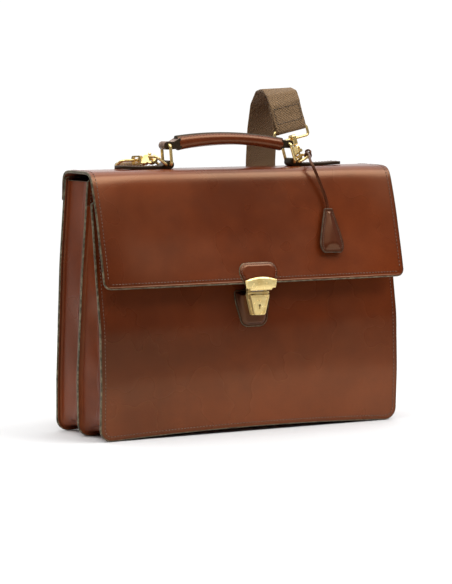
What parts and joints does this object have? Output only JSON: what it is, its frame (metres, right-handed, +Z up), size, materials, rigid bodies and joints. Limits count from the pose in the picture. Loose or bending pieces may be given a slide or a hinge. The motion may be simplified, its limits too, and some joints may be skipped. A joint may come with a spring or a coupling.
{
  "type": "leather briefcase",
  "caption": "Flap-over leather briefcase, two compartments, press lock, ring-hung handle, clip-on webbing strap and a key bell on a lace.",
  "frame": {"origin": "on the ground, under the middle of the divider panel", "axes": "+X along the length, to the right when facing the front; -Y is the front; +Z up"},
  "size_m": [0.388, 0.1905, 0.3798],
  "materials": {
    "cognac_leather": "polished vegetable-tanned leather, painted edges",
    "dark_leather": "dark edge-painted leather",
    "lining_leather": "suede split, matt",
    "brass": "polished brass",
    "steel": "zinc-plated steel",
    "board": "fibre board, matt",
    "webbing": "cotton webbing, matt",
    "rope_core": "twisted rope core"
  },
  "bodies": {
    "bag": {"back_panel": "cognac_leather", "divider_panel": "cognac_leather", "front_panel": "cognac_leather", "rear_gusset": "cognac_leather", "front_gusset": "cognac_leather", "flap_anchor_strip": "cognac_leather", "lock_base": "cognac_leather", "lock_back_plate": "steel", "lock_rivets": "steel", "lock_housing": "brass", "lock_plate": "brass", "lock_springs": "steel", "strap_webbing": "webbing"},
    "flap_top": {"flap_band": "cognac_leather", "band_stiffener": "board", "tab_left": "dark_leather", "tab_right": "dark_leather"},
    "flap_front": {"flap_front": "cognac_leather", "flap_lock_tab": "cognac_leather", "catch_plate": "brass", "catch_staple": "brass", "catch_rivets": "steel", "catch_back_plate": "steel", "key_lace": "cognac_leather", "key": "steel"},
    "push_bar": {"push_bar": "brass", "latch_bolt": "steel"},
    "lock_cam": {"lock_cam": "steel"},
    "ring_left": {"ring_left": "brass"},
    "ring_right": {"ring_right": "brass"},
    "handle": {"handle_core": "rope_core", "handle_cover": "cognac_leather", "handle_end_left": "dark_leather", "handle_end_right": "dark_leather"},
    "dee_left": {"dee_left": "brass"},
    "dee_right": {"dee_right": "brass"},
    "hook_left": {"hook_left": "brass"},
    "hook_right": {"hook_right": "brass"},
    "gate_left": {"gate_left": "brass"},
    "gate_right": {"gate_right": "brass"},
    "eye_left": {"eye_left": "brass"},
    "eye_right": {"eye_right": "brass"},
    "loop_left": {"loop_left": "brass"},
    "loop_right": {"loop_right": "brass"},
    "slider": {"strap_slider": "brass"},
    "clochette": {"clochette_cover": "cognac_leather"}
  },
  "joints": [
    {"name": "flap_lift", "type": "hinge", "parent": "bag", "child": "flap_top", "pos_m": [0, 0.031, 0.2945], "axis": [-1, 0, 0], "range_deg": [0, 80], "deforming": ["strap_webbing"]},
    {"name": "flap_fold", "type": "hinge", "parent": "flap_top", "child": "flap_front", "pos_m": [0, -0.0345, 0.2945], "axis": [-1, 0, 0], "range_deg": [0, 150], "deforming": ["key_lace"]},
    {"name": "push_bar_press", "type": "slide", "parent": "bag", "child": "push_bar", "axis": [0, 0, -1], "range_m": [0, 0.003], "stiffness_N_per_m": 400, "deforming": ["lock_springs"]},
    {"name": "lock_cam_turn", "type": "hinge", "parent": "bag", "child": "lock_cam", "pos_m": [0, -0.063, 0.1435], "axis": [0, 1, 0], "range_deg": [0, 90]},
    {"name": "ring_left_lean", "type": "hinge", "parent": "flap_top", "child": "ring_left", "pos_m": [-0.081, -0.003, 0.30075], "axis": [0, -1, 0], "range_deg": [-12, 10]},
    {"name": "ring_right_lean", "type": "hinge", "parent": "flap_top", "child": "ring_right", "pos_m": [0.081, -0.003, 0.30075], "axis": [0, -1, 0], "range_deg": [-12, 10]},
    {"name": "handle_level", "type": "hinge", "parent": "ring_left", "child": "handle", "pos_m": [-0.08292, -0.003, 0.32267], "axis": [0, -1, 0], "range_deg": [-11, 13]},
    {"name": "dee_left_lift", "type": "hinge", "parent": "flap_top", "child": "dee_left", "pos_m": [-0.087, -0.003, 0.30075], "axis": [0, 1, 0], "range_deg": [0, 20]},
    {"name": "dee_right_lift", "type": "hinge", "parent": "flap_top", "child": "dee_right", "pos_m": [0.087, -0.003, 0.30075], "axis": [0, -1, 0], "range_deg": [0, 8], "deforming": ["key_lace"]},
    {"name": "hook_left_swing", "type": "hinge", "parent": "dee_left", "child": "hook_left", "pos_m": [-0.09478, 0.007, 0.3062], "axis": [0.8191, 0, -0.5736], "range_deg": [0, 12]},
    {"name": "hook_right_swing", "type": "hinge", "parent": "dee_right", "child": "hook_right", "pos_m": [0.09636, 0.007, 0.30573], "axis": [-0.8829, 0, -0.4695], "range_deg": [0, 10]},
    {"name": "gate_left_slide", "type": "slide", "parent": "hook_left", "child": "gate_left", "axis": [-0.502, 0.8634, -0.0502], "range_m": [0, 0.0035], "stiffness_N_per_m": 250},
    {"name": "gate_right_slide", "type": "slide", "parent": "hook_right", "child": "gate_right", "axis": [-0.201, 0.1708, 0.9646], "range_m": [0, 0.0035], "stiffness_N_per_m": 250},
    {"name": "eye_left_swivel", "type": "hinge", "parent": "hook_left", "child": "eye_left", "pos_m": [-0.09478, 0.007, 0.3062], "axis": [-0.502, 0.8634, -0.0502], "range_deg": [-8, 8]},
    {"name": "eye_right_swivel", "type": "hinge", "parent": "hook_right", "child": "eye_right", "pos_m": [0.09636, 0.007, 0.30573], "axis": [-0.201, 0.1708, 0.9646], "range_deg": [-5, 5]},
    {"name": "loop_left_hang", "type": "hinge", "parent": "eye_left", "child": "loop_left", "pos_m": [-0.10577, 0.02591, 0.3051], "axis": [0.9659, 0.259, 0], "range_deg": [-5, 81]},
    {"name": "loop_right_tip", "type": "hinge", "parent": "eye_right", "child": "loop_right", "pos_m": [0.09196, 0.01074, 0.32685], "axis": [0.9781, 0, 0.208], "range_deg": [-12, 6]},
    {"name": "slider_slide", "type": "slide", "parent": "bag", "child": "slider", "axis": [0, 0, 1], "range_m": [-0.06, 0.06]},
    {"name": "clochette_slide", "type": "slide", "parent": "flap_front", "child": "clochette", "axis": [0.0349, 0.2628, 0.9642], "range_m": [0, 0.02]}
  ],
  "couplings": [
    {"joint": "ring_right_lean", "follows": "ring_left_lean", "ratio": 1},
    {"joint": "handle_level", "follows": "ring_left_lean", "ratio": -1.028},
    {"joint": "loop_left_hang", "follows": "flap_lift", "ratio": 1}
  ]
}
